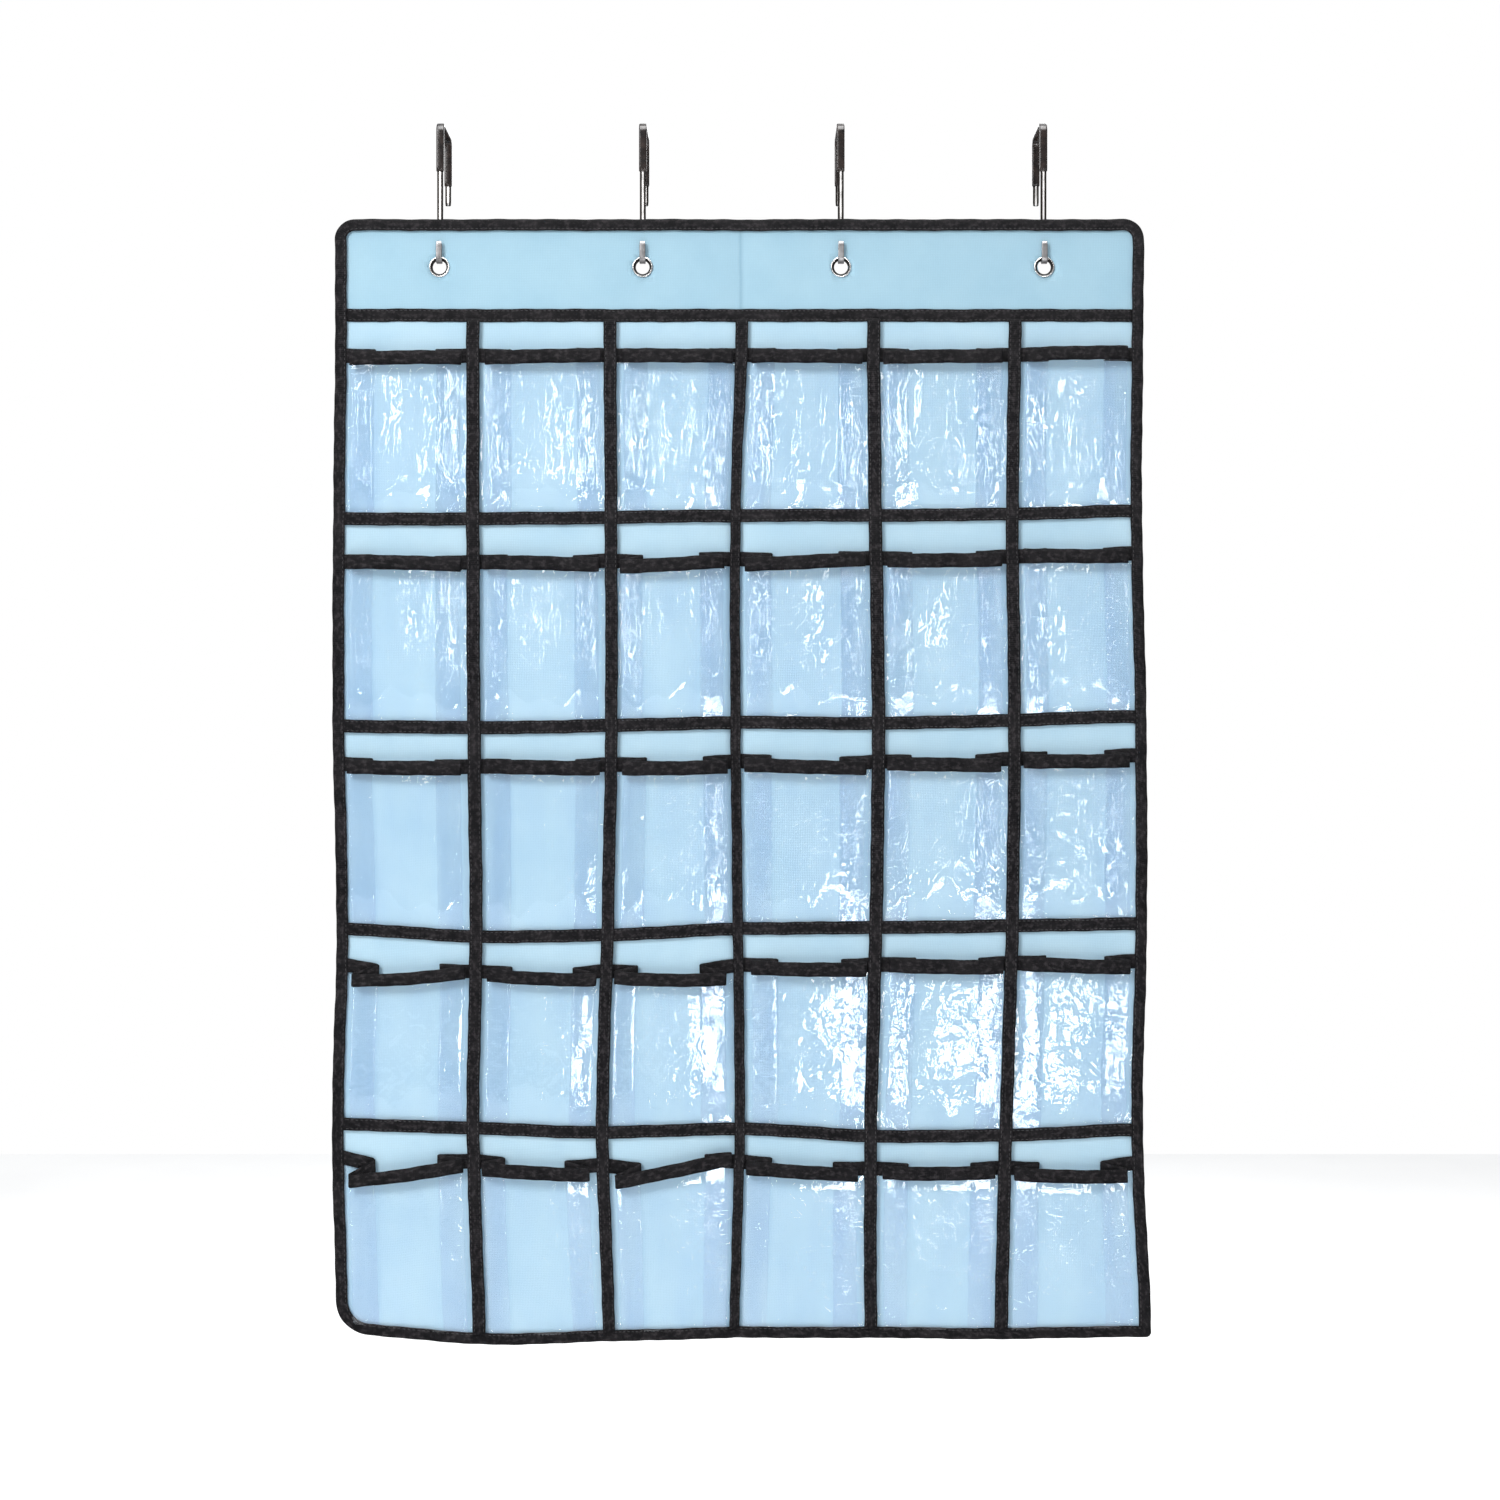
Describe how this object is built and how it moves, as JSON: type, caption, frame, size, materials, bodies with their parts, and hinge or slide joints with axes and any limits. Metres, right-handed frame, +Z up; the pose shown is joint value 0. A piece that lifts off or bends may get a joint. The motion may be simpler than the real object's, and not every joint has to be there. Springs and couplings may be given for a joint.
{
  "type": "multi glasses organizer",
  "caption": "Hanging cloth panel with a grid of clear pleated pockets for glasses, bound in dark tape, on steel hooks that sit over a door.",
  "frame": {"origin": "on the centre crease, at the door's top edge, in the face of the door that the panel hangs against", "axes": "+X to the right seen from the front, +Z up, the pockets face -Y"},
  "size_m": [0.59, 0.0578, 0.8925],
  "materials": {
    "backing_cloth": "light blue coated woven cloth",
    "binding_tape": "charcoal woven binding tape",
    "pocket_film": "clear glossy soft film",
    "eyelet_steel": "nickel-plated pressed eyelet",
    "hook_steel": "plated flat steel strip",
    "hook_sleeve": "dark soft plastic sleeve"
  },
  "bodies": {
    "left_half": {"backing_left": "backing_cloth", "edge_binding_left": "binding_tape", "header_tape_left": "binding_tape", "row_tape_1_left": "binding_tape", "row_tape_2_left": "binding_tape", "row_tape_3_left": "binding_tape", "row_tape_4_left": "binding_tape", "pocket_film_1_left": "pocket_film", "pocket_film_2_left": "pocket_film", "pocket_film_3_left": "pocket_film", "pocket_film_4_left": "pocket_film", "pocket_film_5_left": "pocket_film", "mouth_binding_1_left": "binding_tape", "mouth_binding_2_left": "binding_tape", "mouth_binding_3_left": "binding_tape", "mouth_binding_4_left": "binding_tape", "mouth_binding_5_left": "binding_tape", "centre_tape_left": "binding_tape", "column_tape_1_left": "binding_tape", "column_tape_2_left": "binding_tape", "eyelet_1": "eyelet_steel", "eyelet_washer_1": "eyelet_steel", "eyelet_2": "eyelet_steel", "eyelet_washer_2": "eyelet_steel"},
    "right_half": {"backing_right": "backing_cloth", "edge_binding_right": "binding_tape", "header_tape_right": "binding_tape", "row_tape_1_right": "binding_tape", "row_tape_2_right": "binding_tape", "row_tape_3_right": "binding_tape", "row_tape_4_right": "binding_tape", "pocket_film_1_right": "pocket_film", "pocket_film_2_right": "pocket_film", "pocket_film_3_right": "pocket_film", "pocket_film_4_right": "pocket_film", "pocket_film_5_right": "pocket_film", "mouth_binding_1_right": "binding_tape", "mouth_binding_2_right": "binding_tape", "mouth_binding_3_right": "binding_tape", "mouth_binding_4_right": "binding_tape", "mouth_binding_5_right": "binding_tape", "centre_tape_right": "binding_tape", "column_tape_1_right": "binding_tape", "column_tape_2_right": "binding_tape", "eyelet_3": "eyelet_steel", "eyelet_washer_3": "eyelet_steel", "eyelet_4": "eyelet_steel", "eyelet_washer_4": "eyelet_steel"},
    "hook_1": {"door_hook_1": "hook_steel", "hook_sleeve_1": "hook_sleeve"},
    "hook_2": {"door_hook_2": "hook_steel", "hook_sleeve_2": "hook_sleeve"},
    "hook_3": {"door_hook_3": "hook_steel", "hook_sleeve_3": "hook_sleeve"},
    "hook_4": {"door_hook_4": "hook_steel", "hook_sleeve_4": "hook_sleeve"}
  },
  "joints": [
    {"name": "centre_fold", "type": "hinge", "parent": "left_half", "child": "right_half", "pos_m": [0, -0.0203, -0.48], "axis": [0, 0, -1], "range_deg": [0, 178]},
    {"name": "hook_1_swivel", "type": "hinge", "parent": "left_half", "child": "hook_1", "pos_m": [-0.221, -0.0048, -0.105], "axis": [0, -1, 0], "continuous": true},
    {"name": "hook_2_swivel", "type": "hinge", "parent": "left_half", "child": "hook_2", "pos_m": [-0.0725, -0.0048, -0.105], "axis": [0, -1, 0], "continuous": true},
    {"name": "hook_3_swivel", "type": "hinge", "parent": "right_half", "child": "hook_3", "pos_m": [0.0725, -0.0048, -0.105], "axis": [0, -1, 0], "continuous": true},
    {"name": "hook_4_swivel", "type": "hinge", "parent": "right_half", "child": "hook_4", "pos_m": [0.221, -0.0048, -0.105], "axis": [0, -1, 0], "continuous": true}
  ]
}
